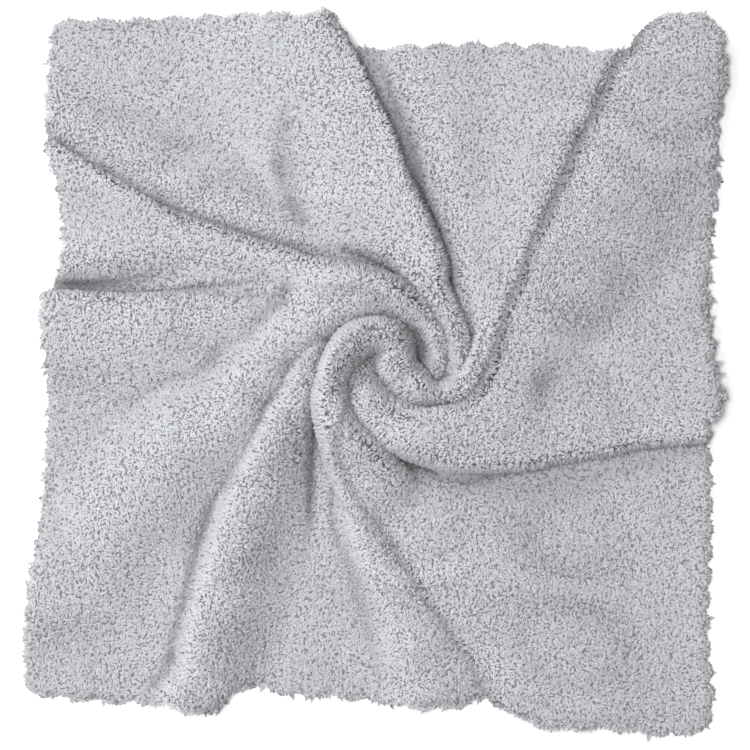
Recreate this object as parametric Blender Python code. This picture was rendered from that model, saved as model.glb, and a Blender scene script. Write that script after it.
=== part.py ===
"""A square plush microfibre cloth, pinched at its middle, given a part turn and let fall on a table.

It is one sheet with a wavy cut edge. Thirteen folds run out of the swirl at its middle. Each fold is a row
of the tables below: the bearing and the height of its crest on rings round the swirl, and the shape of
its two sides. The sheet's upper face follows the highest fold at each place, and its underside keeps
one thickness below it, so the folds are hollow and the panels between them lie on the table.
"""

import bpy
import numpy as np

MM = 0.001

# ---- the sheet, in millimetres ----

THICKNESS = 3.2  # the backing with the pile of both faces
EDGE_SHARE = 0.55  # the cut edge is pressed to this share of the thickness
EDGE_REACH = 3.0  # width of the band in which it thins
WAVE_REACH = 8.0  # how far into the sheet the edge's waves bend its grid
WAVE_MIDDLE = 0.6  # the share of a wave's depth that lies inside the edge's line
WAVES_ACROSS = 20  # along the north and south edges, 15 mm each when flat
WAVES_UP = 30  # along the west and east edges, 10 mm each when flat
STEPS_ACROSS = 9  # grid steps for each wave
STEPS_UP = 6
TRIANGLES = 11400  # of the finished solid
EDGE_SAMPLES = 10  # places worked out along an edge for each of its grid points
MAP_STEP = 0.75  # spacing of the height map
MAP_HALF = 165.0  # from the swirl's middle to the map's side

# Each edge runs west to east or south to north, through points east and north of the swirl's middle,
# along the middle of its waves. depth is how far a wave reaches from notch to tip.
EDGES = {
    "north": {
        "depth": 2.0,
        "east": (-140, -92, -46, -34, -26, -21, -17, 10, 60, 96, 102, 108, 117, 126, 132),
        "north": (140, 141.5, 141.5, 140.5, 137.5, 132, 130, 130, 130, 130, 134, 139, 142.5, 141.5, 139),
    },
    "east": {
        "depth": 2.2,
        "east": (127, 128.5, 127, 128, 127, 126.5, 133, 129.5, 127.5, 129, 131.5, 130.5, 134, 132),
        "north": (-149, -138, -118, -55, -30, -24, -16, -1, 22, 58, 76, 93, 120, 139),
    },
    "south": {
        "depth": 2.0,
        "east": (-151, -120, -92, -77, -70, -65, -40, -10, 14, 32, 41, 47, 56, 66, 86, 112, 127),
        "north": (-133, -137, -138, -141.5, -136, -132, -134, -136, -139, -137, -133, -137.5, -145,
                  -147, -147, -150, -149),
    },
    "west": {
        "depth": 1.6,
        "east": (-151, -151, -149.5, -146, -143.5, -141.5, -143.5, -144, -139, -138.5, -142, -142,
                 -141.5, -140),
        "north": (-133, -108, -92, -74, -46, -8, 12, 24, 33, 76, 85, 100, 122, 140),
    },
}

# ---- the folds, in millimetres and degrees ----

# Radii of the rings round the swirl's middle on which the folds are given.
RINGS = (8, 16, 24, 33, 45, 65, 95, 150)

# How high the pinched middle holds the valleys off the table, on each ring.
MOUND = (1, 3, 5, 5, 3, 1.5, 0.5, 0)

# Bearing of each fold's line, counter-clockwise from east: the crest of a soft fold, and of a fold that
# leans the edge of its lip as seen from above.
BEARINGS = {
    "west lip": (-60, -12, 60, 99, 122, 135.5, 144.8, 147.8),
    "northwest lip": (-90, -60, -15, 49, 66.5, 83, 92.7, 102),
    "northwest bank": (-60, -20, 38, 80, 109, 127, 139.3, 144.5),
    "north swell": (-40, -41, -24, 3, 23, 40, 49.3, 54.7),
    "north shoulder": (-40, -38, -10, 29, 50, 69.5, 82, 93.3),
    "east flap edge": (-150, -84, -49, -32, 12, 34, 44.8, 52.7),
    "east flap foot": (-185, -172, -126, -86, -60, -36, -20, -10),
    "southeast lip": (-170, -150, -140, -130, -117, -94.5, -81, -71.8),
    "hook": (90, 123, 178, 224, 248, 258.5, 269, 273.5),
    "south ridge": (130, 140, 155, 177, 197.5, 213, 225, 237),
    "southwest ridge": (60, 75, 95, 125, 161.5, 189, 198, 210.5),
    "west bank": (42, 66, 82, 97, 126, 145, 155, 163.8),
    "west fold": (45, 69, 85, 108, 137, 154, 163.5, 169.3),
}

# Height of each crest over the mound. A fold that ends short of a ring has no height there.
HEIGHTS = {
    "west lip": (0, 8, 15, 16, 14, 11, 9, 7),
    "northwest lip": (0, 0, 12, 16, 18, 18, 16, 13),
    "northwest bank": (0, 0, 0, 2, 4, 7, 8, 7),
    "north swell": (18, 18, 17, 15, 13, 11, 9, 6),
    "north shoulder": (0, 0, 0, 8, 11, 9.5, 7, 4.5),
    "east flap edge": (9, 17, 18, 19, 19, 16, 13, 10),
    "east flap foot": (6, 15, 18, 19, 18, 15, 11, 7),
    "southeast lip": (0, 0, 0, 0, 7, 13.5, 14, 11),
    "hook": (18, 20, 22, 22, 19, 14, 9, 6),
    "south ridge": (0, 0, 3, 13, 16, 16, 14, 11),
    "southwest ridge": (0, 6, 12, 15, 15, 14, 12, 8),
    "west bank": (0, 0, 0, 0, 1, 5, 9, 12),
    "west fold": (0, 8, 13, 12, 9, 9, 11, 11.5),
}

# The two sides of each fold. side is +1 where its front looks counter-clockwise and -1 where it looks
# clockwise. front and back are the widths of its slopes, and lean is how far the crest hangs forward for
# each unit of its height, all first near the swirl and then at the cloth's edge. A fold that leans has a
# steep front.
SIDES = {
    "west lip": {"side": -1, "front": (4.0, 6.0), "back": (9.5, 42.0), "lean": (0.15, 0.7)},
    "northwest lip": {"side": -1, "front": (4.0, 6.0), "back": (8.0, 48.0), "lean": (0.15, 0.9)},
    "northwest bank": {"side": 1, "front": (5.0, 12.0), "back": (8.0, 27.0), "lean": (0, 0)},
    "north swell": {"side": -1, "front": (8.5, 9.0), "back": (5.0, 60.0), "lean": (0, 0)},
    "north shoulder": {"side": 1, "front": (4.5, 10.0), "back": (6.0, 60.0), "lean": (0, 0)},
    "east flap edge": {"side": 1, "front": (4.0, 6.0), "back": (10.0, 62.0), "lean": (0.15, 0.6)},
    "east flap foot": {"side": -1, "front": (4.5, 7.0), "back": (18.0, 75.0), "lean": (0.15, 0.6)},
    "southeast lip": {"side": -1, "front": (5.0, 6.0), "back": (12.0, 70.0), "lean": (0.1, 0.7)},
    "hook": {"side": -1, "front": (5.5, 16.0), "back": (15.0, 40.0), "lean": (0, 0)},
    "south ridge": {"side": -1, "front": (6.0, 14.0), "back": (7.0, 34.0), "lean": (0, 0)},
    "southwest ridge": {"side": -1, "front": (7.0, 30.0), "back": (12.0, 40.0), "lean": (0, 0)},
    "west bank": {"side": 1, "front": (5.0, 10.0), "back": (8.0, 34.0), "lean": (0, 0)},
    "west fold": {"side": -1, "front": (5.0, 7.0), "back": (6.0, 34.0), "lean": (0.1, 0.6)},
}

NEAR_RADIUS = 30.0  # at this radius a fold has its near widths, which narrow towards the middle
NARROWEST = 4.5  # half the width of the tube that a fold is there
FAR_RADIUS = 110.0  # and from here on its far ones
ROUNDNESS = 3.2  # of a steep slope's top: 2 is an ellipse
NOSE_SHARE = 0.5  # how far down its front a leaning fold reaches furthest
LINE_STEP = 0.75  # between the points at which a fold's line is worked out
OWN_RING = (0.3, 4.0)  # how much a place keeps to the part of the line on its own ring, near and far
SHARPNESS = 4.0  # of the creases in which two folds meet
SOFTEN = 3  # rounds of averaging that leave no bend of the upper face tighter than the sheet can make
SOFTEN_LEAN = 10  # and of the way it leans
LEAN_FROM = 22.0  # the radius from which folds lean in full, as in the very middle they hold each other up
LEAN_AHEAD = 12.0  # how far past a fold's foot its lean fades
LEAN_BEHIND = (14.0, 30.0)  # and how far behind its crest, near and far
EDGE_EASE = 8  # grid steps over which the edge follows the lean of the folds that cross it
EDGE_ROUNDS = 4  # of finding where an edge starts from, so that its lean carries it to its line

GREY = (0.47, 0.48, 0.50, 1.0)
ROUGHNESS = 0.95


def smooth_line(stations, values, at):
    """Cubic curve through values at the stations, level beyond its two ends."""
    stations = np.asarray(stations, float)
    values = np.asarray(values, float)
    slopes = np.gradient(values, stations)
    at = np.clip(at, stations[0], stations[-1])
    before = np.clip(np.searchsorted(stations, at) - 1, 0, len(stations) - 2)
    gap = stations[before + 1] - stations[before]
    t = (at - stations[before]) / gap
    past = 3 * t**2 - 2 * t**3
    level = values[before] * (1 - past) + values[before + 1] * past
    bend = (t**3 - 2 * t**2 + t) * slopes[before] + (t**3 - t**2) * slopes[before + 1]
    return level + bend * gap


def fade(x):
    """Falls from 1 at x = 0 to 0 at x = 1, level at both."""
    return 0.5 + 0.5 * np.cos(np.pi * np.clip(x, 0, 1))


# ---- the height map ----


def from_near_to_far(radius, pair):
    """The first of the pair near the swirl, the second far from it, and a smooth change between."""
    past = np.log(np.maximum(radius, 1.0) / NEAR_RADIUS) / np.log(FAR_RADIUS / NEAR_RADIUS)
    return pair[1] + (pair[0] - pair[1]) * fade(past)


def fold_line(name):
    """Points along a fold's line from the middle outwards, their radii, and the way across the line."""
    ring = np.arange(0, 1.5 * MAP_HALF, LINE_STEP)
    bearing = np.radians(smooth_line(RINGS, BEARINGS[name], ring))
    line = np.stack([ring * np.cos(bearing), ring * np.sin(bearing)], axis=-1)
    along = np.gradient(line, axis=0)
    along /= np.linalg.norm(along, axis=1, keepdims=True)
    return line, ring, np.stack([-along[:, 1], along[:, 0]], axis=-1)


def off_line(name, places):
    """How far each place is from a fold's line, more than 0 on its front, and the way its front looks."""
    line, ring, across = fold_line(name)
    radius = np.hypot(places[:, 0], places[:, 1])
    pull = from_near_to_far(radius, OWN_RING)[:, None]
    apart = (places**2).sum(axis=1)[:, None] + (line**2).sum(axis=1) - 2 * places @ line.T
    apart += pull * (ring - radius[:, None]) ** 2
    nearest = np.clip(np.argmin(apart, axis=1), 1, len(ring) - 2)
    row = np.arange(len(places))
    before, here, after = (apart[row, nearest + k] for k in (-1, 0, 1))
    # The lowest point of the parabola through three points of the line, so that no step shows.
    slope = (after - before) / 2
    bend = np.maximum((after + before) / 2 - here, 1e-9)
    past = np.clip(-slope / (2 * bend), -1, 1)
    lowest = here + slope * past + bend * past**2
    bearing = smooth_line(RINGS, BEARINGS[name], radius)
    turn = np.degrees(np.arctan2(places[:, 1], places[:, 0])) - bearing
    turn = (turn + 180) % 360 - 180
    side = SIDES[name]["side"]
    return np.where(turn * side < 0, -1, 1) * np.sqrt(np.maximum(lowest, 0)), side * across[nearest]


def steep(x):
    """Falls from 1 at x = 0 to 0 at x = 1, level at first and upright at the end."""
    return (1 - np.clip(x, 0, 1) ** ROUNDNESS) ** (1 / ROUNDNESS)


def fold_on_map(name, places):
    """One fold's height at each place, and its lean there as an east and a north part."""
    shape = SIDES[name]
    radius = np.hypot(places[:, 0], places[:, 1])
    ahead, facing = off_line(name, places)
    crest_height = np.maximum(smooth_line(RINGS, HEIGHTS[name], radius), 0)
    front = from_near_to_far(radius, shape["front"])
    back = from_near_to_far(radius, shape["back"])
    back = np.maximum(back * np.minimum(radius / NEAR_RADIUS, 1), np.minimum(back, NARROWEST))
    lean = from_near_to_far(radius, shape["lean"]) * (1 - fade(radius / LEAN_FROM))
    tube = from_near_to_far(radius, (1, 0))
    if max(shape["lean"]) > 0:
        ahead = ahead + lean * crest_height + front * NOSE_SHARE
        front_slope = steep(ahead / front)
    else:
        front_slope = tube * steep(ahead / front) + (1 - tube) * fade(ahead / front)
    back_slope = tube * steep(-ahead / back) + (1 - tube) * fade(-ahead / back)
    height = crest_height * np.where(ahead > 0, front_slope, back_slope)

    behind = from_near_to_far(radius, LEAN_BEHIND)
    lean = lean * fade((ahead - front) / LEAN_AHEAD) * fade(-ahead / behind)
    return height, lean[:, None] * facing


def roll_under(upper, step):
    """The underside that keeps one thickness below the upper face, as if a ball rolled along it."""
    reach = int(THICKNESS / step)
    under = upper - THICKNESS
    padded = np.pad(upper, reach, mode="edge")
    rows, columns = upper.shape
    for i in range(-reach, reach + 1):
        for j in range(-reach, reach + 1):
            across = (i * i + j * j) * step * step
            if 0 < across < THICKNESS**2:
                shifted = padded[reach + i : reach + i + rows, reach + j : reach + j + columns]
                under = np.minimum(under, shifted - np.sqrt(THICKNESS**2 - across))
    return np.maximum(under, 0)


def softened(values, rounds):
    """The map after each value has been averaged with its neighbours, this many times over."""
    for _ in range(rounds):
        edged = np.pad(values, ((1, 1), (0, 0)), mode="edge")
        values = (edged[:-2] + 2 * edged[1:-1] + edged[2:]) / 4
        edged = np.pad(values, ((0, 0), (1, 1)), mode="edge")
        values = (edged[:, :-2] + 2 * edged[:, 1:-1] + edged[:, 2:]) / 4
    return values


def height_map():
    """Maps of the upper face, the underside, the mound's height, and the lean east and north."""
    ticks = np.arange(-MAP_HALF, MAP_HALF + MAP_STEP / 2, MAP_STEP)
    maps = []
    for east in ticks:
        places = np.stack([np.full_like(ticks, east), ticks], axis=-1)
        total = np.zeros_like(ticks)
        lean = np.zeros_like(places)
        for name in BEARINGS:
            height, part = fold_on_map(name, places)
            total += height**SHARPNESS
            lean += part
        mound = smooth_line(RINGS, MOUND, np.hypot(east, ticks))
        upper = THICKNESS + mound + total ** (1 / SHARPNESS)
        maps.append(np.stack([upper, mound, lean[:, 0], lean[:, 1]]))
    upper, mound, lean_east, lean_north = np.stack(maps, axis=1)
    upper = softened(upper, SOFTEN)
    leans = softened(lean_east, SOFTEN_LEAN), softened(lean_north, SOFTEN_LEAN)
    return upper, roll_under(upper, MAP_STEP), mound, *leans


def read_map(values, east, north):
    """The map's value at each place, straight between its points."""
    i = np.clip((east + MAP_HALF) / MAP_STEP, 0, values.shape[0] - 1.001)
    j = np.clip((north + MAP_HALF) / MAP_STEP, 0, values.shape[1] - 1.001)
    i0 = i.astype(int)
    j0 = j.astype(int)
    u = i - i0
    v = j - j0
    west = values[i0, j0] * (1 - v) + values[i0, j0 + 1] * v
    past = values[i0 + 1, j0] * (1 - v) + values[i0 + 1, j0 + 1] * v
    return west * (1 - u) + past * u


# ---- the sheet's outline and grid ----


def edge_line(name, count):
    """count + 1 evenly spaced points along one edge, without its waves."""
    east = np.array(EDGES[name]["east"], float)
    north = np.array(EDGES[name]["north"], float)
    along = np.concatenate([[0], np.cumsum(np.hypot(np.diff(east), np.diff(north)))])
    at = np.linspace(0, along[-1], count * EDGE_SAMPLES + 1)
    line = np.stack([smooth_line(along, east, at), smooth_line(along, north, at)], axis=-1)
    gone = np.concatenate([[0], np.cumsum(np.hypot(*np.diff(line, axis=0).T))])
    even = np.linspace(0, gone[-1], count + 1)
    return np.stack([np.interp(even, gone, line[:, 0]), np.interp(even, gone, line[:, 1])], axis=-1)


def before_lean(line, shift_at):
    """Where an edge starts from, for the leaning folds to carry it to its line. Its ends stay."""
    window = np.hanning(EDGE_EASE + 1)[1:-1]
    window /= window.sum()
    start = line.copy()
    for _ in range(EDGE_ROUNDS):
        shift = np.pad(shift_at(start), ((len(window) // 2,) * 2, (0, 0)), mode="edge")
        shift = np.stack([np.convolve(part, window, mode="valid") for part in shift.T], axis=-1)
        start = line - shift
    return start


def wave_offsets(line, depth, waves):
    """How far each point of an edge stands out of its line: round tips with narrow notches between."""
    along = np.gradient(line, axis=0)
    along /= np.linalg.norm(along, axis=1, keepdims=True)
    outward = np.stack([-along[:, 1], along[:, 0]], axis=-1)
    phase = np.linspace(0, waves, len(line))
    return outward * (depth * (np.abs(np.sin(np.pi * phase)) - WAVE_MIDDLE))[:, None]


def sheet_grid(shift_at):
    """Where each grid point of the sheet lies before its folds lean, and its distance from the edge."""
    across = WAVES_ACROSS * STEPS_ACROSS
    up = WAVES_UP * STEPS_UP
    lines = {"south": edge_line("south", across), "north": edge_line("north", across),
             "west": edge_line("west", up), "east": edge_line("east", up)}
    for name, line in lines.items():
        lines[name] = before_lean(line, shift_at)
    south, north, west, east = lines["south"], lines["north"], lines["west"], lines["east"]
    u = np.linspace(0, 1, across + 1)[:, None, None]
    v = np.linspace(0, 1, up + 1)[None, :, None]
    between = (1 - v) * south[:, None] + v * north[:, None] + (1 - u) * west[None] + u * east[None]
    corners = (1 - v) * ((1 - u) * south[0] + u * south[-1]) + v * ((1 - u) * north[0] + u * north[-1])
    grid = between - corners

    to_south = np.linalg.norm(grid - south[:, None], axis=-1)
    to_north = np.linalg.norm(grid - north[:, None], axis=-1)
    to_west = np.linalg.norm(grid - west[None], axis=-1)
    to_east = np.linalg.norm(grid - east[None], axis=-1)
    waves = {
        "south": (-wave_offsets(south, EDGES["south"]["depth"], WAVES_ACROSS)[:, None], to_south),
        "north": (wave_offsets(north, EDGES["north"]["depth"], WAVES_ACROSS)[:, None], to_north),
        "west": (wave_offsets(west, EDGES["west"]["depth"], WAVES_UP)[None], to_west),
        "east": (-wave_offsets(east, EDGES["east"]["depth"], WAVES_UP)[None], to_east),
    }
    for offset, distance in waves.values():
        grid = grid + offset * fade(distance / WAVE_REACH)[..., None]
    inset = np.minimum.reduce([to_south, to_north, to_west, to_east])
    return grid, inset


# ---- the solid ----


def sheet_points():
    """Grid points of the sheet's upper and lower faces."""
    maps = height_map()

    def shift_at(places):
        upper, under, mound, *lean = (read_map(values, places[..., 0], places[..., 1]) for values in maps)
        return np.stack(lean, axis=-1) * (upper - THICKNESS - mound)[..., None]

    grid, inset = sheet_grid(shift_at)
    upper, under, mound, *lean = (read_map(values, grid[..., 0], grid[..., 1]) for values in maps)
    thinning = np.sqrt(1 - (1 - np.clip(inset / EDGE_REACH, 0, 1)) ** 2)
    upper = under + (upper - under) * (EDGE_SHARE + (1 - EDGE_SHARE) * thinning)
    faces = []
    for height in (upper, under):
        moved = grid + np.stack(lean, axis=-1) * np.maximum(height - mound, 0)[..., None]
        faces.append(np.concatenate([moved, height[..., None]], axis=-1))
    return faces


def sheet_mesh(name):
    """The closed mesh of the sheet: its upper face, its underside, and a strip round the edge."""
    upper, under = sheet_points()
    columns, rows = upper.shape[:2]
    count = columns * rows
    number = np.arange(count).reshape(columns, rows)
    corners = number[:-1, :-1], number[1:, :-1], number[1:, 1:], number[:-1, 1:]
    quads = np.stack(corners, axis=-1).reshape(-1, 4)
    rim = np.concatenate([number[:-1, 0], number[-1, :-1], number[:0:-1, -1], number[0, :0:-1]])
    after = np.roll(rim, -1)
    strip = np.stack([rim + count, after + count, after, rim], axis=-1)
    faces = np.concatenate([quads, quads[:, ::-1] + count, strip])
    points = np.concatenate([upper.reshape(-1, 3), under.reshape(-1, 3)]) * MM
    mesh = bpy.data.meshes.new(name)
    mesh.from_pydata(points.tolist(), [], faces.tolist())
    return mesh


def coarsened(dense, name):
    """The same shape in few triangles: small where it bends, large where it is flat."""
    helper = bpy.data.objects.new(name + "_dense", dense)
    bpy.context.scene.collection.objects.link(helper)
    even = helper.modifiers.new("triangles", "TRIANGULATE")
    even.quad_method = "SHORTEST_DIAGONAL"
    sparse = helper.modifiers.new("sparse", "DECIMATE")
    sparse.ratio = TRIANGLES / (2 * len(dense.polygons))
    bpy.context.view_layer.update()
    mesh = bpy.data.meshes.new_from_object(helper.evaluated_get(bpy.context.evaluated_depsgraph_get()))
    bpy.data.objects.remove(helper)
    mesh.name = name
    return mesh


def stand_on_origin(mesh):
    """Moves the mesh so that the middle of its box is over the origin, and its lowest points at z = 0."""
    points = np.empty(len(mesh.vertices) * 3)
    mesh.vertices.foreach_get("co", points)
    points = points.reshape(-1, 3)
    middle = (points.min(axis=0) + points.max(axis=0)) / 2
    points[:, :2] -= middle[:2]
    points[:, 2] = np.maximum(points[:, 2], 0)
    mesh.vertices.foreach_set("co", points.ravel())
    mesh.update()


def fleece():
    material = bpy.data.materials.new("grey_fleece")
    material.use_nodes = True
    shader = material.node_tree.nodes["Principled BSDF"]
    shader.inputs["Base Color"].default_value = GREY
    shader.inputs["Roughness"].default_value = ROUGHNESS
    shader.inputs["Metallic"].default_value = 0.0
    return material


def main():
    for old in list(bpy.data.objects):
        bpy.data.objects.remove(old)
    mesh = coarsened(sheet_mesh("cloth_grid"), "cloth")
    stand_on_origin(mesh)
    mesh.materials.append(fleece())
    mesh.shade_smooth()
    cloth = bpy.data.objects.new("cloth", mesh)
    bpy.context.scene.collection.objects.link(cloth)


main()
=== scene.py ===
"""A square plush microfibre cloth, pinched at its middle and turned, seen from straight above.

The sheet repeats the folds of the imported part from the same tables. It is dressed with a backing and with
the locks of its pile, which are modelled one by one.
"""

import bpy
import numpy as np
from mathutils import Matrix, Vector


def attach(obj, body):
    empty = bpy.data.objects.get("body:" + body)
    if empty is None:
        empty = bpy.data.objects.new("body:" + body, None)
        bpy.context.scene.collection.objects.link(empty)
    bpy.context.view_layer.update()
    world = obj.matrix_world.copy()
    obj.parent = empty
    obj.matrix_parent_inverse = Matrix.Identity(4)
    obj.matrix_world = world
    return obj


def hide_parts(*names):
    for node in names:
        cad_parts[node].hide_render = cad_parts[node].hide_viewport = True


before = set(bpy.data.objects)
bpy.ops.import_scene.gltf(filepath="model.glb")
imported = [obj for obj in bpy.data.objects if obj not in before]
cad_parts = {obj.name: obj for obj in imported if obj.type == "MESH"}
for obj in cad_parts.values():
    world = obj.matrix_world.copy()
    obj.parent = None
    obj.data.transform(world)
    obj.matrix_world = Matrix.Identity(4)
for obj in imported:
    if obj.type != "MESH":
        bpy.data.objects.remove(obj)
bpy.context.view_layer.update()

MM = 0.001

# ---- the sheet, in millimetres ----

THICKNESS = 3.2  # the backing with the pile of both faces
EDGE_SHARE = 0.55  # the cut edge is pressed to this share of the thickness
EDGE_REACH = 3.0  # width of the band in which it thins
WAVE_REACH = 8.0  # how far into the sheet the edge's waves bend its grid
WAVE_MIDDLE = 0.6  # the share of a wave's depth that lies inside the edge's line
WAVES_ACROSS = 20  # along the north and south edges, 15 mm each when flat
WAVES_UP = 30  # along the west and east edges, 10 mm each when flat
STEPS_ACROSS = 9  # grid steps for each wave
STEPS_UP = 6
EDGE_SAMPLES = 10  # places worked out along an edge for each of its grid points
MAP_STEP = 0.75  # spacing of the height map
MAP_HALF = 165.0  # from the swirl's middle to the map's side

# Each edge runs west to east or south to north, through points east and north of the swirl's middle,
# along the middle of its waves. depth is how far a wave reaches from notch to tip.
EDGES = {
    "north": {
        "depth": 2.0,
        "east": (-140, -92, -46, -34, -26, -21, -17, 10, 60, 96, 102, 108, 117, 126, 132),
        "north": (140, 141.5, 141.5, 140.5, 137.5, 132, 130, 130, 130, 130, 134, 139, 142.5, 141.5, 139),
    },
    "east": {
        "depth": 2.2,
        "east": (127, 128.5, 127, 128, 127, 126.5, 133, 129.5, 127.5, 129, 131.5, 130.5, 134, 132),
        "north": (-149, -138, -118, -55, -30, -24, -16, -1, 22, 58, 76, 93, 120, 139),
    },
    "south": {
        "depth": 2.0,
        "east": (-151, -120, -92, -77, -70, -65, -40, -10, 14, 32, 41, 47, 56, 66, 86, 112, 127),
        "north": (-133, -137, -138, -141.5, -136, -132, -134, -136, -139, -137, -133, -137.5, -145,
                  -147, -147, -150, -149),
    },
    "west": {
        "depth": 1.6,
        "east": (-151, -151, -149.5, -146, -143.5, -141.5, -143.5, -144, -139, -138.5, -142, -142,
                 -141.5, -140),
        "north": (-133, -108, -92, -74, -46, -8, 12, 24, 33, 76, 85, 100, 122, 140),
    },
}

# ---- the folds, in millimetres and degrees ----

# Radii of the rings round the swirl's middle on which the folds are given.
RINGS = (8, 16, 24, 33, 45, 65, 95, 150)

# How high the pinched middle holds the valleys off the table, on each ring.
MOUND = (1, 3, 5, 5, 3, 1.5, 0.5, 0)

# Bearing of each fold's line, counter-clockwise from east: the crest of a soft fold, and of a fold that
# leans the edge of its lip as seen from above.
BEARINGS = {
    "west lip": (-60, -12, 60, 99, 122, 135.5, 144.8, 147.8),
    "northwest lip": (-90, -60, -15, 49, 66.5, 83, 92.7, 102),
    "northwest bank": (-60, -20, 38, 80, 109, 127, 139.3, 144.5),
    "north swell": (-40, -41, -24, 3, 23, 40, 49.3, 54.7),
    "north shoulder": (-40, -38, -10, 29, 50, 69.5, 82, 93.3),
    "east flap edge": (-150, -84, -49, -32, 12, 34, 44.8, 52.7),
    "east flap foot": (-185, -172, -126, -86, -60, -36, -20, -10),
    "southeast lip": (-170, -150, -140, -130, -117, -94.5, -81, -71.8),
    "hook": (90, 123, 178, 224, 248, 258.5, 269, 273.5),
    "south ridge": (130, 140, 155, 177, 197.5, 213, 225, 237),
    "southwest ridge": (60, 75, 95, 125, 161.5, 189, 198, 210.5),
    "west bank": (42, 66, 82, 97, 126, 145, 155, 163.8),
    "west fold": (45, 69, 85, 108, 137, 154, 163.5, 169.3),
}

# Height of each crest over the mound. A fold that ends short of a ring has no height there.
HEIGHTS = {
    "west lip": (0, 8, 15, 16, 14, 11, 9, 7),
    "northwest lip": (0, 0, 12, 16, 18, 18, 16, 13),
    "northwest bank": (0, 0, 0, 2, 4, 7, 8, 7),
    "north swell": (18, 18, 17, 15, 13, 11, 9, 6),
    "north shoulder": (0, 0, 0, 8, 11, 9.5, 7, 4.5),
    "east flap edge": (9, 17, 18, 19, 19, 16, 13, 10),
    "east flap foot": (6, 15, 18, 19, 18, 15, 11, 7),
    "southeast lip": (0, 0, 0, 0, 7, 13.5, 14, 11),
    "hook": (18, 20, 22, 22, 19, 14, 9, 6),
    "south ridge": (0, 0, 3, 13, 16, 16, 14, 11),
    "southwest ridge": (0, 6, 12, 15, 15, 14, 12, 8),
    "west bank": (0, 0, 0, 0, 1, 5, 9, 12),
    "west fold": (0, 8, 13, 12, 9, 9, 11, 11.5),
}

# The two sides of each fold. side is +1 where its front looks counter-clockwise and -1 where it looks
# clockwise. front and back are the widths of its slopes, and lean is how far the crest hangs forward for
# each unit of its height, all first near the swirl and then at the cloth's edge. A fold that leans has a
# steep front.
SIDES = {
    "west lip": {"side": -1, "front": (4.0, 6.0), "back": (9.5, 42.0), "lean": (0.15, 0.7)},
    "northwest lip": {"side": -1, "front": (4.0, 6.0), "back": (8.0, 48.0), "lean": (0.15, 0.9)},
    "northwest bank": {"side": 1, "front": (5.0, 12.0), "back": (8.0, 27.0), "lean": (0, 0)},
    "north swell": {"side": -1, "front": (8.5, 9.0), "back": (5.0, 60.0), "lean": (0, 0)},
    "north shoulder": {"side": 1, "front": (4.5, 10.0), "back": (6.0, 60.0), "lean": (0, 0)},
    "east flap edge": {"side": 1, "front": (4.0, 6.0), "back": (10.0, 62.0), "lean": (0.15, 0.6)},
    "east flap foot": {"side": -1, "front": (4.5, 7.0), "back": (18.0, 75.0), "lean": (0.15, 0.6)},
    "southeast lip": {"side": -1, "front": (5.0, 6.0), "back": (12.0, 70.0), "lean": (0.1, 0.7)},
    "hook": {"side": -1, "front": (5.5, 16.0), "back": (15.0, 40.0), "lean": (0, 0)},
    "south ridge": {"side": -1, "front": (6.0, 14.0), "back": (7.0, 34.0), "lean": (0, 0)},
    "southwest ridge": {"side": -1, "front": (7.0, 30.0), "back": (12.0, 40.0), "lean": (0, 0)},
    "west bank": {"side": 1, "front": (5.0, 10.0), "back": (8.0, 34.0), "lean": (0, 0)},
    "west fold": {"side": -1, "front": (5.0, 7.0), "back": (6.0, 34.0), "lean": (0.1, 0.6)},
}

NEAR_RADIUS = 30.0  # at this radius a fold has its near widths, which narrow towards the middle
NARROWEST = 4.5  # half the width of the tube that a fold is there
FAR_RADIUS = 110.0  # and from here on its far ones
ROUNDNESS = 3.2  # of a steep slope's top: 2 is an ellipse
NOSE_SHARE = 0.5  # how far down its front a leaning fold reaches furthest
LINE_STEP = 0.75  # between the points at which a fold's line is worked out
OWN_RING = (0.3, 4.0)  # how much a place keeps to the part of the line on its own ring, near and far
SHARPNESS = 4.0  # of the creases in which two folds meet
SOFTEN = 3  # rounds of averaging that leave no bend of the upper face tighter than the sheet can make
SOFTEN_LEAN = 10  # and of the way it leans
LEAN_FROM = 22.0  # the radius from which folds lean in full, as in the very middle they hold each other up
LEAN_AHEAD = 12.0  # how far past a fold's foot its lean fades
LEAN_BEHIND = (14.0, 30.0)  # and how far behind its crest, near and far
EDGE_EASE = 8  # grid steps over which the edge follows the lean of the folds that cross it
EDGE_ROUNDS = 4  # of finding where an edge starts from, so that its lean carries it to its line


def smooth_line(stations, values, at):
    """Cubic curve through values at the stations, level beyond its two ends."""
    stations = np.asarray(stations, float)
    values = np.asarray(values, float)
    slopes = np.gradient(values, stations)
    at = np.clip(at, stations[0], stations[-1])
    before = np.clip(np.searchsorted(stations, at) - 1, 0, len(stations) - 2)
    gap = stations[before + 1] - stations[before]
    t = (at - stations[before]) / gap
    past = 3 * t**2 - 2 * t**3
    level = values[before] * (1 - past) + values[before + 1] * past
    bend = (t**3 - 2 * t**2 + t) * slopes[before] + (t**3 - t**2) * slopes[before + 1]
    return level + bend * gap


def fade(x):
    """Falls from 1 at x = 0 to 0 at x = 1, level at both."""
    return 0.5 + 0.5 * np.cos(np.pi * np.clip(x, 0, 1))


# ---- the height map ----


def from_near_to_far(radius, pair):
    """The first of the pair near the swirl, the second far from it, and a smooth change between."""
    past = np.log(np.maximum(radius, 1.0) / NEAR_RADIUS) / np.log(FAR_RADIUS / NEAR_RADIUS)
    return pair[1] + (pair[0] - pair[1]) * fade(past)


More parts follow.
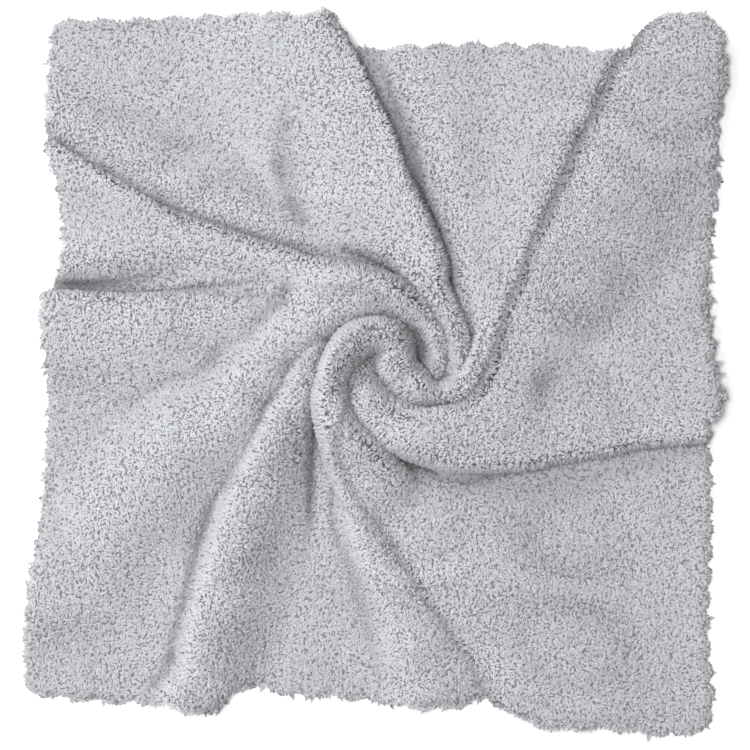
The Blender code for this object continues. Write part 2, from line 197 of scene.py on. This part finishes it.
def fold_line(name):
    """Points along a fold's line from the middle outwards, their radii, and the way across the line."""
    ring = np.arange(0, 1.5 * MAP_HALF, LINE_STEP)
    bearing = np.radians(smooth_line(RINGS, BEARINGS[name], ring))
    line = np.stack([ring * np.cos(bearing), ring * np.sin(bearing)], axis=-1)
    along = np.gradient(line, axis=0)
    along /= np.linalg.norm(along, axis=1, keepdims=True)
    return line, ring, np.stack([-along[:, 1], along[:, 0]], axis=-1)


def off_line(name, places):
    """How far each place is from a fold's line, more than 0 on its front, and the way its front looks."""
    line, ring, across = fold_line(name)
    radius = np.hypot(places[:, 0], places[:, 1])
    pull = from_near_to_far(radius, OWN_RING)[:, None]
    apart = (places**2).sum(axis=1)[:, None] + (line**2).sum(axis=1) - 2 * places @ line.T
    apart += pull * (ring - radius[:, None]) ** 2
    nearest = np.clip(np.argmin(apart, axis=1), 1, len(ring) - 2)
    row = np.arange(len(places))
    before, here, after = (apart[row, nearest + k] for k in (-1, 0, 1))
    # The lowest point of the parabola through three points of the line, so that no step shows.
    slope = (after - before) / 2
    bend = np.maximum((after + before) / 2 - here, 1e-9)
    past = np.clip(-slope / (2 * bend), -1, 1)
    lowest = here + slope * past + bend * past**2
    bearing = smooth_line(RINGS, BEARINGS[name], radius)
    turn = np.degrees(np.arctan2(places[:, 1], places[:, 0])) - bearing
    turn = (turn + 180) % 360 - 180
    side = SIDES[name]["side"]
    return np.where(turn * side < 0, -1, 1) * np.sqrt(np.maximum(lowest, 0)), side * across[nearest]


def steep(x):
    """Falls from 1 at x = 0 to 0 at x = 1, level at first and upright at the end."""
    return (1 - np.clip(x, 0, 1) ** ROUNDNESS) ** (1 / ROUNDNESS)


def fold_on_map(name, places):
    """One fold's height at each place, and its lean there as an east and a north part."""
    shape = SIDES[name]
    radius = np.hypot(places[:, 0], places[:, 1])
    ahead, facing = off_line(name, places)
    crest_height = np.maximum(smooth_line(RINGS, HEIGHTS[name], radius), 0)
    front = from_near_to_far(radius, shape["front"])
    back = from_near_to_far(radius, shape["back"])
    back = np.maximum(back * np.minimum(radius / NEAR_RADIUS, 1), np.minimum(back, NARROWEST))
    lean = from_near_to_far(radius, shape["lean"]) * (1 - fade(radius / LEAN_FROM))
    tube = from_near_to_far(radius, (1, 0))
    if max(shape["lean"]) > 0:
        ahead = ahead + lean * crest_height + front * NOSE_SHARE
        front_slope = steep(ahead / front)
    else:
        front_slope = tube * steep(ahead / front) + (1 - tube) * fade(ahead / front)
    back_slope = tube * steep(-ahead / back) + (1 - tube) * fade(-ahead / back)
    height = crest_height * np.where(ahead > 0, front_slope, back_slope)

    behind = from_near_to_far(radius, LEAN_BEHIND)
    lean = lean * fade((ahead - front) / LEAN_AHEAD) * fade(-ahead / behind)
    return height, lean[:, None] * facing


def roll_under(upper, step):
    """The underside that keeps one thickness below the upper face, as if a ball rolled along it."""
    reach = int(THICKNESS / step)
    under = upper - THICKNESS
    padded = np.pad(upper, reach, mode="edge")
    rows, columns = upper.shape
    for i in range(-reach, reach + 1):
        for j in range(-reach, reach + 1):
            across = (i * i + j * j) * step * step
            if 0 < across < THICKNESS**2:
                shifted = padded[reach + i : reach + i + rows, reach + j : reach + j + columns]
                under = np.minimum(under, shifted - np.sqrt(THICKNESS**2 - across))
    return np.maximum(under, 0)


def softened(values, rounds):
    """The map after each value has been averaged with its neighbours, this many times over."""
    for _ in range(rounds):
        edged = np.pad(values, ((1, 1), (0, 0)), mode="edge")
        values = (edged[:-2] + 2 * edged[1:-1] + edged[2:]) / 4
        edged = np.pad(values, ((0, 0), (1, 1)), mode="edge")
        values = (edged[:, :-2] + 2 * edged[:, 1:-1] + edged[:, 2:]) / 4
    return values


def height_map():
    """Maps of the upper face, the underside, the mound's height, and the lean east and north."""
    ticks = np.arange(-MAP_HALF, MAP_HALF + MAP_STEP / 2, MAP_STEP)
    maps = []
    for east in ticks:
        places = np.stack([np.full_like(ticks, east), ticks], axis=-1)
        total = np.zeros_like(ticks)
        lean = np.zeros_like(places)
        for name in BEARINGS:
            height, part = fold_on_map(name, places)
            total += height**SHARPNESS
            lean += part
        mound = smooth_line(RINGS, MOUND, np.hypot(east, ticks))
        upper = THICKNESS + mound + total ** (1 / SHARPNESS)
        maps.append(np.stack([upper, mound, lean[:, 0], lean[:, 1]]))
    upper, mound, lean_east, lean_north = np.stack(maps, axis=1)
    upper = softened(upper, SOFTEN)
    leans = softened(lean_east, SOFTEN_LEAN), softened(lean_north, SOFTEN_LEAN)
    return upper, roll_under(upper, MAP_STEP), mound, *leans


def read_map(values, east, north):
    """The map's value at each place, straight between its points."""
    i = np.clip((east + MAP_HALF) / MAP_STEP, 0, values.shape[0] - 1.001)
    j = np.clip((north + MAP_HALF) / MAP_STEP, 0, values.shape[1] - 1.001)
    i0 = i.astype(int)
    j0 = j.astype(int)
    u = i - i0
    v = j - j0
    west = values[i0, j0] * (1 - v) + values[i0, j0 + 1] * v
    past = values[i0 + 1, j0] * (1 - v) + values[i0 + 1, j0 + 1] * v
    return west * (1 - u) + past * u


# ---- the sheet's outline and grid ----


def edge_line(name, count):
    """count + 1 evenly spaced points along one edge, without its waves."""
    east = np.array(EDGES[name]["east"], float)
    north = np.array(EDGES[name]["north"], float)
    along = np.concatenate([[0], np.cumsum(np.hypot(np.diff(east), np.diff(north)))])
    at = np.linspace(0, along[-1], count * EDGE_SAMPLES + 1)
    line = np.stack([smooth_line(along, east, at), smooth_line(along, north, at)], axis=-1)
    gone = np.concatenate([[0], np.cumsum(np.hypot(*np.diff(line, axis=0).T))])
    even = np.linspace(0, gone[-1], count + 1)
    return np.stack([np.interp(even, gone, line[:, 0]), np.interp(even, gone, line[:, 1])], axis=-1)


def before_lean(line, shift_at):
    """Where an edge starts from, for the leaning folds to carry it to its line. Its ends stay."""
    window = np.hanning(EDGE_EASE + 1)[1:-1]
    window /= window.sum()
    start = line.copy()
    for _ in range(EDGE_ROUNDS):
        shift = np.pad(shift_at(start), ((len(window) // 2,) * 2, (0, 0)), mode="edge")
        shift = np.stack([np.convolve(part, window, mode="valid") for part in shift.T], axis=-1)
        start = line - shift
    return start


def wave_offsets(line, depth, waves):
    """How far each point of an edge stands out of its line: round tips with narrow notches between."""
    along = np.gradient(line, axis=0)
    along /= np.linalg.norm(along, axis=1, keepdims=True)
    outward = np.stack([-along[:, 1], along[:, 0]], axis=-1)
    phase = np.linspace(0, waves, len(line))
    return outward * (depth * (np.abs(np.sin(np.pi * phase)) - WAVE_MIDDLE))[:, None]


def sheet_grid(shift_at):
    """Where each grid point of the sheet lies before its folds lean, and its distance from the edge."""
    across = WAVES_ACROSS * STEPS_ACROSS
    up = WAVES_UP * STEPS_UP
    lines = {"south": edge_line("south", across), "north": edge_line("north", across),
             "west": edge_line("west", up), "east": edge_line("east", up)}
    for name, line in lines.items():
        lines[name] = before_lean(line, shift_at)
    south, north, west, east = lines["south"], lines["north"], lines["west"], lines["east"]
    u = np.linspace(0, 1, across + 1)[:, None, None]
    v = np.linspace(0, 1, up + 1)[None, :, None]
    between = (1 - v) * south[:, None] + v * north[:, None] + (1 - u) * west[None] + u * east[None]
    corners = (1 - v) * ((1 - u) * south[0] + u * south[-1]) + v * ((1 - u) * north[0] + u * north[-1])
    grid = between - corners

    to_south = np.linalg.norm(grid - south[:, None], axis=-1)
    to_north = np.linalg.norm(grid - north[:, None], axis=-1)
    to_west = np.linalg.norm(grid - west[None], axis=-1)
    to_east = np.linalg.norm(grid - east[None], axis=-1)
    waves = {
        "south": (-wave_offsets(south, EDGES["south"]["depth"], WAVES_ACROSS)[:, None], to_south),
        "north": (wave_offsets(north, EDGES["north"]["depth"], WAVES_ACROSS)[:, None], to_north),
        "west": (wave_offsets(west, EDGES["west"]["depth"], WAVES_UP)[None], to_west),
        "east": (-wave_offsets(east, EDGES["east"]["depth"], WAVES_UP)[None], to_east),
    }
    for offset, distance in waves.values():
        grid = grid + offset * fade(distance / WAVE_REACH)[..., None]
    inset = np.minimum.reduce([to_south, to_north, to_west, to_east])
    return grid, inset


# ---- the solid ----


def sheet_points():
    """Grid points of the sheet's upper and lower faces."""
    maps = height_map()

    def shift_at(places):
        upper, under, mound, *lean = (read_map(values, places[..., 0], places[..., 1]) for values in maps)
        return np.stack(lean, axis=-1) * (upper - THICKNESS - mound)[..., None]

    grid, inset = sheet_grid(shift_at)
    upper, under, mound, *lean = (read_map(values, grid[..., 0], grid[..., 1]) for values in maps)
    thinning = np.sqrt(1 - (1 - np.clip(inset / EDGE_REACH, 0, 1)) ** 2)
    upper = under + (upper - under) * (EDGE_SHARE + (1 - EDGE_SHARE) * thinning)
    faces = []
    for height in (upper, under):
        moved = grid + np.stack(lean, axis=-1) * np.maximum(height - mound, 0)[..., None]
        faces.append(np.concatenate([moved, height[..., None]], axis=-1))
    return faces


def on_the_table(faces):
    """The faces with the middle of the sheet's outline over the origin, in the part's own frame."""
    points = np.concatenate([face.reshape(-1, 3) for face in faces])
    middle = (points.min(axis=0) + points.max(axis=0)) / 2
    moved = []
    for face in faces:
        face = face - [middle[0], middle[1], 0]
        face[..., 2] = np.maximum(face[..., 2], 0)
        moved.append(face)
    return moved, middle[:2]


# ---- the backing ----

BACKING = (0.30, 0.72)  # where its two faces lie, as shares of the way from the underside to the upper face


def backing_mesh(upper, under):
    """The closed mesh of the knitted backing, in the middle of the sheet's thickness."""
    low = under + BACKING[0] * (upper - under)
    high = under + BACKING[1] * (upper - under)
    columns, rows = upper.shape[:2]
    count = columns * rows
    number = np.arange(count).reshape(columns, rows)
    corners = number[:-1, :-1], number[1:, :-1], number[1:, 1:], number[:-1, 1:]
    quads = np.stack(corners, axis=-1).reshape(-1, 4)
    rim = np.concatenate([number[:-1, 0], number[-1, :-1], number[:0:-1, -1], number[0, :0:-1]])
    after = np.roll(rim, -1)
    strip = np.stack([rim + count, after + count, after, rim], axis=-1)
    faces = np.concatenate([quads, quads[:, ::-1] + count, strip])
    points = np.concatenate([high.reshape(-1, 3), low.reshape(-1, 3)]) * MM
    mesh = bpy.data.meshes.new("backing")
    mesh.from_pydata(points.tolist(), [], faces.tolist())
    mesh.shade_smooth()
    return mesh


# ---- the pile ----

LOCKS_ABOVE = 174000
LOCKS_BELOW = 28000
LOCKS_ON_RIM = 12000
LOCKS_IN_A_PIECE = 43500
LOCK_HEIGHT = (-0.25, 0.85)  # millimetres over the solid's face, least and most
LOCK_REACH = (1.4, 3.0)  # how far its tip lies from above its root
LOCK_WIDTH = (0.85, 1.3)
SIDES_ALONG = 0.45  # where a lock's two sides are, as a share of its reach
SIDES_UP = (0.3, 0.6)  # and of its height
TIP_UP = 0.8  # height of its tip, as a share of the lock's
BROAD_BELOW = 1.6  # the underside has fewer locks, so much broader

# Steps that fill a square evenly: 1/p and 1/p**2, where p**3 = p + 1.
EVEN_STEPS = (0.7548776662466927, 0.5698402909980532)
OFF_STEP = 0.3  # how far chance moves a lock off them, in grid steps
DRIFT_WAVES = 6  # of which the way that the pile lies is made up
DRIFT_TURN = 1.3  # radians that each turns it
DRIFT_PITCH = 60  # millimetres
LEAN_DRIFT = 0.5  # shares of that way, of downhill and of chance in a lock's own lean
LEAN_DOWN = 0.2
LEAN_CHANCE = 0.6
CLUMP = 2.2  # spacing of the clumps into which tips gather
CLUMP_PULL = 0.12
CLUMP_REPEAT = 64  # clumps after which their places repeat

RIDGE_ROUNDS = 60  # of averaging, that tell a ridge from the sheet round it
RIDGE_LIMIT = 1.6
RIDGE_PAINTED_LIGHT = 0.06  # how much lighter the pile is painted for each millimetre of ridge, as painted light
RIDGE_ROOT_SHADE_LIFT = 0.45  # and how much of a lock's painted root shade is taken off there, also painted light
CREASE_ROUNDS = 5  # of averaging, that tell a crease from the sheet round it
CREASE_FROM = 0.1  # how deep a crease must be to count
CREASE_LIMIT = 0.8
CREASE_PAINTED_SHADE = 0.7  # how much darker the pile is painted for each millimetre of crease, as painted shade
SIZE_LOST = 0.1  # how much smaller its locks are for each millimetre of either
TONE_CHANCE = 0.05

# Folds beside which the pile is painted darker than the relief makes it, as painted shade in their creases:
# how much darker, and how many millimetres the painted shade reaches.
CREASES_PAINTED_DARK = {
    "east flap edge": (0.55, 3.0),
    "southeast lip": (0.4, 3.0),
    "west lip": (0.16, 8.0),
    "west bank": (0.3, 3.0),
}
DARK_PAST_LIP = 0.8  # how far before a lip the painted shade is darkest, as a share of its reach

RIM_INSIDE = 3  # grid steps from the edge to the points that show which way it looks
RIM_TOOTH = 3.4  # spacing of the tufts in which the rim's locks stand
RIM_TOOTH_TURN = 2.2  # radians by which that spacing drifts
RIM_TOOTH_DRIFT = 11.0  # millimetres for each radian of the drift
RIM_SWING = 0.5  # how far a tuft turns its locks along the rim
RIM_CHANCE = 0.3
RIM_UP = (-0.5, 0.6)  # of a lock's root and its lean
RIM_INSET = (0.4, 1.4)  # from the edge to a lock's root
RIM_REACH = (1.0, 2.0)
RIM_HEIGHT = (0.1, 0.6)
# The rim's locks are painted lighter and lose part of their painted root shade: painted light.
RIM_PAINTED_LIGHT = 1.2
RIM_ROOT_SHADE_LIFT = 0.5
SEED = 11


def unit(vectors):
    return vectors / np.maximum(np.linalg.norm(vectors, axis=-1, keepdims=True), 1e-9)


def grid_normals(face):
    """Unit normals at a face's grid points, upwards where the sheet lies flat."""
    return unit(np.cross(np.gradient(face, axis=0), np.gradient(face, axis=1)))


def quad_areas(face):
    across = face[1:, 1:] - face[:-1, :-1]
    back = face[:-1, 1:] - face[1:, :-1]
    return np.linalg.norm(np.cross(across, back), axis=-1) / 2


def spread(face, count, rng):
    """Places on a face, even by area, as fractional grid columns and rows."""
    area = quad_areas(face)
    turn = np.arange(count)[:, None] * EVEN_STEPS
    first, second = ((0.5 + turn) % 1).T
    by_column = np.concatenate([[0], np.cumsum(area.sum(axis=1))])
    column = np.interp(first, by_column / by_column[-1], np.arange(len(by_column)))
    at = np.minimum(column.astype(int), area.shape[0] - 1)
    by_row = np.concatenate([np.zeros((area.shape[0], 1)), np.cumsum(area, axis=1)], axis=1)
    by_row /= by_row[:, -1:]
    row = np.empty(count)
    for k in range(area.shape[0]):
        mine = at == k
        row[mine] = np.interp(second[mine], by_row[k], np.arange(area.shape[1] + 1))
    column += rng.uniform(-OFF_STEP, OFF_STEP, count)
    row += rng.uniform(-OFF_STEP, OFF_STEP, count)
    return np.clip(column, 0, area.shape[0]), np.clip(row, 0, area.shape[1])


def on_grid(values, column, row):
    """What a face's grid of values gives at places between its points."""
    i = np.minimum(column.astype(int), values.shape[0] - 2)
    j = np.minimum(row.astype(int), values.shape[1] - 2)
    u = (column - i)[:, None]
    v = (row - j)[:, None]
    before = values[i, j] * (1 - v) + values[i, j + 1] * v
    after = values[i + 1, j] * (1 - v) + values[i + 1, j + 1] * v
    return before * (1 - u) + after * u


def drift(places, wavelength, rng):
    """A smooth field of level unit vectors, which turns over about this many millimetres."""
    angle = np.zeros(len(places))
    for _ in range(DRIFT_WAVES):
        way = rng.uniform(0, 2 * np.pi)
        pitch = 2 * np.pi / (wavelength * rng.uniform(0.7, 1.6))
        phase = rng.uniform(0, 2 * np.pi)
        along = places[:, 0] * np.cos(way) + places[:, 1] * np.sin(way)
        angle += DRIFT_TURN * np.sin(pitch * along + phase)
    return np.stack([np.cos(angle), np.sin(angle), np.zeros_like(angle)], axis=-1)


def gathered(tips, rng):
    """From each tip to the middle of its clump."""
    cell = np.floor(tips / CLUMP).astype(int)
    best = np.full(len(tips), 1e9)
    away = np.zeros_like(tips)
    wobble = rng.uniform(0.1, 0.9, (CLUMP_REPEAT, CLUMP_REPEAT, 3))
    for i in (-1, 0, 1):
        for j in (-1, 0, 1):
            near = cell + [i, j, 0]
            middle = (near + wobble[near[:, 0] % CLUMP_REPEAT, near[:, 1] % CLUMP_REPEAT]) * CLUMP
            middle[:, 2] = tips[:, 2]
            gap = np.linalg.norm(middle - tips, axis=-1)
            closer = gap < best
            best[closer] = gap[closer]
            away[closer] = (middle - tips)[closer]
    return away


def locks(roots, normals, lean, height, reach, width, rng):
    """Five points of each lock: its root, its left and right sides, the ridge between them, and its tip."""
    side = unit(np.cross(normals, lean)) * (0.5 * width)[:, None]
    low = rng.uniform(*SIDES_UP, len(roots))
    points = np.empty((len(roots), 5, 3))
    points[:, 0] = roots
    middle = roots + lean * (SIDES_ALONG * reach)[:, None]
    points[:, 1] = middle + side + normals * (low * height)[:, None]
    points[:, 2] = middle - side + normals * (low * height)[:, None]
    points[:, 3] = middle + normals * height[:, None]
    points[:, 4] = roots + normals * (TIP_UP * height)[:, None] + lean * reach[:, None]
    return points


FACES_OF_LOCK = ((0, 2, 3), (0, 3, 1), (2, 4, 3), (3, 4, 1))
LOCK_ON_MAP = ((0.1, 0.5), (0.45, 0.9), (0.45, 0.1), (0.5, 0.5), (0.9, 0.5))
FROM_TIP = (1, 0.35, 0.35, 0.2, 0)  # how much of the root's painted shade each point has


def pile_mesh(name, points, tone, root_shade_lifted):
    """One joined mesh of locks, with each lock's tone and its painted light and shade, the way along it,
    and a cell of the map each.
    """
    count = len(points)
    corners = (5 * np.arange(count)[:, None] + np.ravel(FACES_OF_LOCK)).ravel()
    mesh = bpy.data.meshes.new(name)
    mesh.vertices.add(5 * count)
    mesh.vertices.foreach_set("co", (points.reshape(-1) * MM).astype(np.float32))
    mesh.loops.add(len(corners))
    mesh.loops.foreach_set("vertex_index", corners.astype(np.int32))
    mesh.polygons.add(4 * count)
    mesh.polygons.foreach_set("loop_start", np.arange(0, len(corners), 3, dtype=np.int32))
    mesh.update(calc_edges=True)
    mesh.validate()
    along = mesh.attributes.new("along", "FLOAT", "POINT")
    from_tip = np.array(FROM_TIP) * (1 - np.clip(root_shade_lifted, 0, 1))[:, None]
    along.data.foreach_set("value", (1 - from_tip).ravel().astype(np.float32))
    shade = mesh.attributes.new("tone", "FLOAT", "POINT")
    shade.data.foreach_set("value", np.repeat(tone, 5).astype(np.float32))
    across = int(np.ceil(np.sqrt(count)))
    cell = np.stack([np.arange(count) % across, np.arange(count) // across], axis=-1)[:, None]
    uv = (cell + np.array(LOCK_ON_MAP)[np.ravel(FACES_OF_LOCK)]) / across
    layer = mesh.uv_layers.new(name="OFBake")
    layer.data.foreach_set("uv", uv.reshape(-1).astype(np.float32))
    mesh.shade_smooth()
    return mesh


def relief(face):
    """How far each grid point stands over the sheet round it: above 0 on a ridge, below it in a crease."""
    height = face[..., 2]
    ridge = np.clip(height - softened(height, RIDGE_ROUNDS), 0, RIDGE_LIMIT)
    crease = np.clip(softened(height, CREASE_ROUNDS) - height - CREASE_FROM, 0, CREASE_LIMIT)
    return ridge - crease


def painted_crease_shade(face, middle):
    """The share of the pile's lightness that the painted crease shade of the table above leaves at each
    grid point of the upper face.
    """
    places = face[..., :2].reshape(-1, 2) + middle
    radius = np.hypot(places[:, 0], places[:, 1])
    shade = np.ones(len(places))
    for name, (dark, width) in CREASES_PAINTED_DARK.items():
        ahead = off_line(name, places)[0]
        if max(SIDES[name]["lean"]) > 0:
            foot = DARK_PAST_LIP * width
        else:
            foot = from_near_to_far(radius, SIDES[name]["front"])
        shade *= 1 - dark * fade(np.abs(ahead - foot) / width) * (1 - fade(radius / LEAN_FROM))
    return shade.reshape(face.shape[:2])


def pile_on(face, other, shade, count, broad, rng):
    """Locks over one face of the sheet, the tone of each, and how much of its painted root shade is taken
    off. other is its other face.
    """
    column, row = spread(face, count, rng)
    count = len(column)
    surface = on_grid(face, column, row)
    inward = on_grid(other, column, row)
    normals = grid_normals(face)
    if other[..., 2].mean() > face[..., 2].mean():
        normals = -normals
    normals = unit(on_grid(normals, column, row))
    roots = surface + (1 - BACKING[1]) * (inward - surface)
    depth = np.linalg.norm(surface - roots, axis=-1)
    down = np.array([0, 0, -1.0]) - normals * -normals[:, 2:]
    lean = LEAN_DRIFT * drift(surface, DRIFT_PITCH, rng) + LEAN_DOWN * down
    lean += rng.normal(0, LEAN_CHANCE, (count, 3))
    lean -= normals * (lean * normals).sum(axis=-1, keepdims=True)
    lean = unit(lean)
    raised = on_grid(relief(face)[..., None], column, row)[:, 0]
    size = broad * (1 - SIZE_LOST * np.abs(raised))
    reach = size * rng.uniform(*LOCK_REACH, count)
    pull = CLUMP_PULL * gathered(surface + lean * reach[:, None], rng)
    pull -= normals * (pull * normals).sum(axis=-1, keepdims=True)
    tip = lean * reach[:, None] + pull
    reach = np.linalg.norm(tip, axis=-1)
    lean = unit(tip)
    height = depth + rng.uniform(*LOCK_HEIGHT, count)
    width = size * rng.uniform(*LOCK_WIDTH, count)
    # Painted light on ridges and painted shade in creases, over a tone that differs at random.
    tone = 1 + np.where(raised > 0, RIDGE_PAINTED_LIGHT, CREASE_PAINTED_SHADE) * raised + rng.normal(0, TONE_CHANCE, count)
    # Painted shade beside the folds of the crease table.
    tone *= on_grid(shade[..., None], column, row)[:, 0]
    # Less of the painted root shade on ridges: painted light.
    root_shade_lifted = RIDGE_ROOT_SHADE_LIFT * np.maximum(raised, 0)
    return locks(roots, normals, lean, height, reach, width, rng), tone, root_shade_lifted


def rim_points(face, other, count, rng):
    """Locks that stand out of the cut edge, the tone of each, and how much of its painted root shade is
    taken off.
    """
    middle = (face + other) / 2
    far = -1 - RIM_INSIDE
    inside = [middle[:, RIM_INSIDE], middle[far], middle[::-1, far], middle[RIM_INSIDE, ::-1]]
    rims = [middle[:, 0], middle[-1], middle[::-1, -1], middle[0, ::-1]]
    line = np.concatenate([rim[:-1] for rim in rims])
    out = unit(np.concatenate([(rim - near)[:-1] for rim, near in zip(rims, inside)]))
    line = np.concatenate([line, line[:1]])
    out = np.concatenate([out, out[:1]])
    gone = np.concatenate([[0], np.cumsum(np.linalg.norm(np.diff(line, axis=0), axis=-1))])
    at = np.sort(rng.uniform(0, gone[-1], count))
    roots = np.stack([np.interp(at, gone, part) for part in line.T], axis=-1)
    way = unit(np.stack([np.interp(at, gone, part) for part in out.T], axis=-1))
    along = unit(np.cross([0, 0, 1.0], way))
    swing = np.sin(2 * np.pi * at / RIM_TOOTH + RIM_TOOTH_TURN * np.sin(at / RIM_TOOTH_DRIFT))
    lean = way + along * (RIM_SWING * swing + rng.normal(0, RIM_CHANCE, count))[:, None]
    lean[:, 2] += rng.uniform(*RIM_UP, count)
    lean = unit(lean)
    roots = roots - way * rng.uniform(*RIM_INSET, count)[:, None]
    roots[:, 2] += rng.uniform(*RIM_UP, count)
    up = unit(np.array([0, 0, 1.0]) - lean * lean[:, 2:])
    reach = rng.uniform(*RIM_REACH, count)
    width = rng.uniform(*LOCK_WIDTH, count)
    # Painted light: the rim's locks are coloured lighter than the rest.
    tone = RIM_PAINTED_LIGHT + rng.normal(0, TONE_CHANCE, count)
    height = rng.uniform(*RIM_HEIGHT, count)
    return locks(roots, up, lean, height, reach, width, rng), tone, np.full(count, RIM_ROOT_SHADE_LIFT)


# ---- materials ----

STITCH = 0.0009  # metres, of the knitted backing
WAVE_AT_ONE = 0.314  # the length of a wave texture's band at scale 1


def fleece(name, root_shade_colour, tip_colour):
    material = bpy.data.materials.new(name)
    material.use_nodes = True
    nodes = material.node_tree.nodes
    links = material.node_tree.links
    shader = nodes["Principled BSDF"]
    along = nodes.new("ShaderNodeAttribute")
    along.attribute_name = "along"
    tone = nodes.new("ShaderNodeAttribute")
    tone.attribute_name = "tone"
    ramp = nodes.new("ShaderNodeValToRGB")
    ramp.color_ramp.elements[0].color = root_shade_colour
    ramp.color_ramp.elements[1].color = tip_colour
    links.new(along.outputs["Fac"], ramp.inputs["Fac"])
    vary = nodes.new("ShaderNodeHueSaturation")
    links.new(tone.outputs["Fac"], vary.inputs["Value"])
    links.new(ramp.outputs["Color"], vary.inputs["Color"])
    links.new(vary.outputs["Color"], shader.inputs["Base Color"])
    shader.inputs["Roughness"].default_value = 0.9
    shader.inputs["Specular IOR Level"].default_value = 0.2
    shader.inputs["Sheen Weight"].default_value = 0.25
    shader.inputs["Sheen Roughness"].default_value = 0.5
    return material


def knit(name, dark, light):
    """Rows of small stitches, with the loops raised."""
    material = bpy.data.materials.new(name)
    material.use_nodes = True
    nodes = material.node_tree.nodes
    links = material.node_tree.links
    shader = nodes["Principled BSDF"]
    place = nodes.new("ShaderNodeTexCoord")
    loops = nodes.new("ShaderNodeMath")
    loops.operation = "MULTIPLY"
    for k, way in enumerate(("X", "Y")):
        rows = nodes.new("ShaderNodeTexWave")
        rows.bands_direction = way
        rows.inputs["Scale"].default_value = WAVE_AT_ONE / STITCH
        rows.inputs["Distortion"].default_value = 0.6
        links.new(place.outputs["Object"], rows.inputs["Vector"])
        links.new(rows.outputs["Fac"], loops.inputs[k])
    ramp = nodes.new("ShaderNodeValToRGB")
    ramp.color_ramp.elements[0].color = dark
    ramp.color_ramp.elements[1].color = light
    links.new(loops.outputs["Value"], ramp.inputs["Fac"])
    links.new(ramp.outputs["Color"], shader.inputs["Base Color"])
    bump = nodes.new("ShaderNodeBump")
    bump.inputs["Distance"].default_value = 0.15 * MM
    links.new(loops.outputs["Value"], bump.inputs["Height"])
    links.new(bump.outputs["Normal"], shader.inputs["Normal"])
    shader.inputs["Roughness"].default_value = 0.95
    return material


def plain(name, colour, roughness):
    material = bpy.data.materials.new(name)
    material.use_nodes = True
    shader = material.node_tree.nodes["Principled BSDF"]
    shader.inputs["Base Color"].default_value = colour
    shader.inputs["Roughness"].default_value = roughness
    return material


# ---- the pieces ----


def add(name, mesh, material):
    mesh.materials.append(material)
    piece = bpy.data.objects.new(name, mesh)
    bpy.context.scene.collection.objects.link(piece)
    return piece


faces, middle = on_the_table(sheet_points())
upper, under = faces
rng = np.random.default_rng(SEED)

# The locks' roots are coloured darker than their tips: painted shade where the locks shade each other.
lock_material = fleece("grey_fleece", (0.27, 0.274, 0.286, 1), (0.385, 0.392, 0.41, 1))
# The backing's stitches are coloured as dark as the locks' roots: painted shade where it shows between the
# locks.
backing_material = knit("grey_backing", (0.20, 0.203, 0.212, 1), (0.27, 0.274, 0.286, 1))

backing = add("cloth_backing", backing_mesh(upper, under), backing_material)
groups = {
    "above": pile_on(upper, under, painted_crease_shade(upper, middle), LOCKS_ABOVE, 1, rng),
    "below": pile_on(under, upper, np.ones(under.shape[:2]), LOCKS_BELOW, BROAD_BELOW, rng),
    "rim": rim_points(upper, under, LOCKS_ON_RIM, rng),
}
pile = []
for where, (points, tone, root_shade_lifted) in groups.items():
    points[..., 2] = np.maximum(points[..., 2], 0.02)
    for k in range(0, len(points), LOCKS_IN_A_PIECE):
        some = slice(k, k + LOCKS_IN_A_PIECE)
        name = f"pile_{where}_{k // LOCKS_IN_A_PIECE + 1}"
        mesh = pile_mesh(name, points[some], tone[some], root_shade_lifted[some])
        pile.append(add(name, mesh, lock_material))

for piece in (backing, *pile):
    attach(piece, "root")
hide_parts("cloth")

# ---- floor, light and camera ----

PIXEL = 0.41  # millimetres of the cloth that one pixel of the photo shows
PHOTO_SIDE = 750
PHOTO_MIDDLE = (-8.61, -3.69)  # millimetres east and north of the swirl's middle
CAMERA_HEIGHT = 1.35  # metres over the table


def light(name, place, size, power, aim=(0, 0, 0)):
    lamp = bpy.data.lights.new(name, "AREA")
    lamp.shape = "DISK"
    lamp.size = size
    lamp.energy = power
    holder = bpy.data.objects.new(name, lamp)
    holder.location = place
    way = np.array(aim) - np.array(place)
    holder.rotation_euler = Vector(way).to_track_quat("-Z", "Y").to_euler()
    bpy.context.scene.collection.objects.link(holder)


floor_mesh = bpy.data.meshes.new("floor")
floor_mesh.from_pydata([(-3, -3, 0), (3, -3, 0), (3, 3, 0), (-3, 3, 0)], [], [(0, 1, 2, 3)])
floor = add("floor", floor_mesh, plain("pale_floor", (0.86, 0.86, 0.86, 1), 0.8))

light("overhead", (-0.2, 0.05, 1.8), 0.7, 34)
light("northwest", (-0.89, 0.89, 1.0), 0.7, 18)
light("southwest", (-0.95, -0.8, 1.0), 0.7, 10)
world = bpy.data.worlds.new("soft_light")
world.use_nodes = True
world.node_tree.nodes["Background"].inputs["Color"].default_value = (1, 1, 1, 1)
world.node_tree.nodes["Background"].inputs["Strength"].default_value = 0.12
bpy.context.scene.world = world
bpy.context.scene.view_settings.view_transform = "Standard"

camera_data = bpy.data.cameras.new("photo_view")
camera_data.sensor_fit = "HORIZONTAL"
camera_data.sensor_width = 36
camera_data.lens = 36 * CAMERA_HEIGHT / (PHOTO_SIDE * PIXEL * MM)
camera = bpy.data.objects.new("photo_view", camera_data)
camera.location = (*((np.array(PHOTO_MIDDLE) - middle) * MM), CAMERA_HEIGHT)
bpy.context.scene.collection.objects.link(camera)
bpy.context.scene.camera = camera
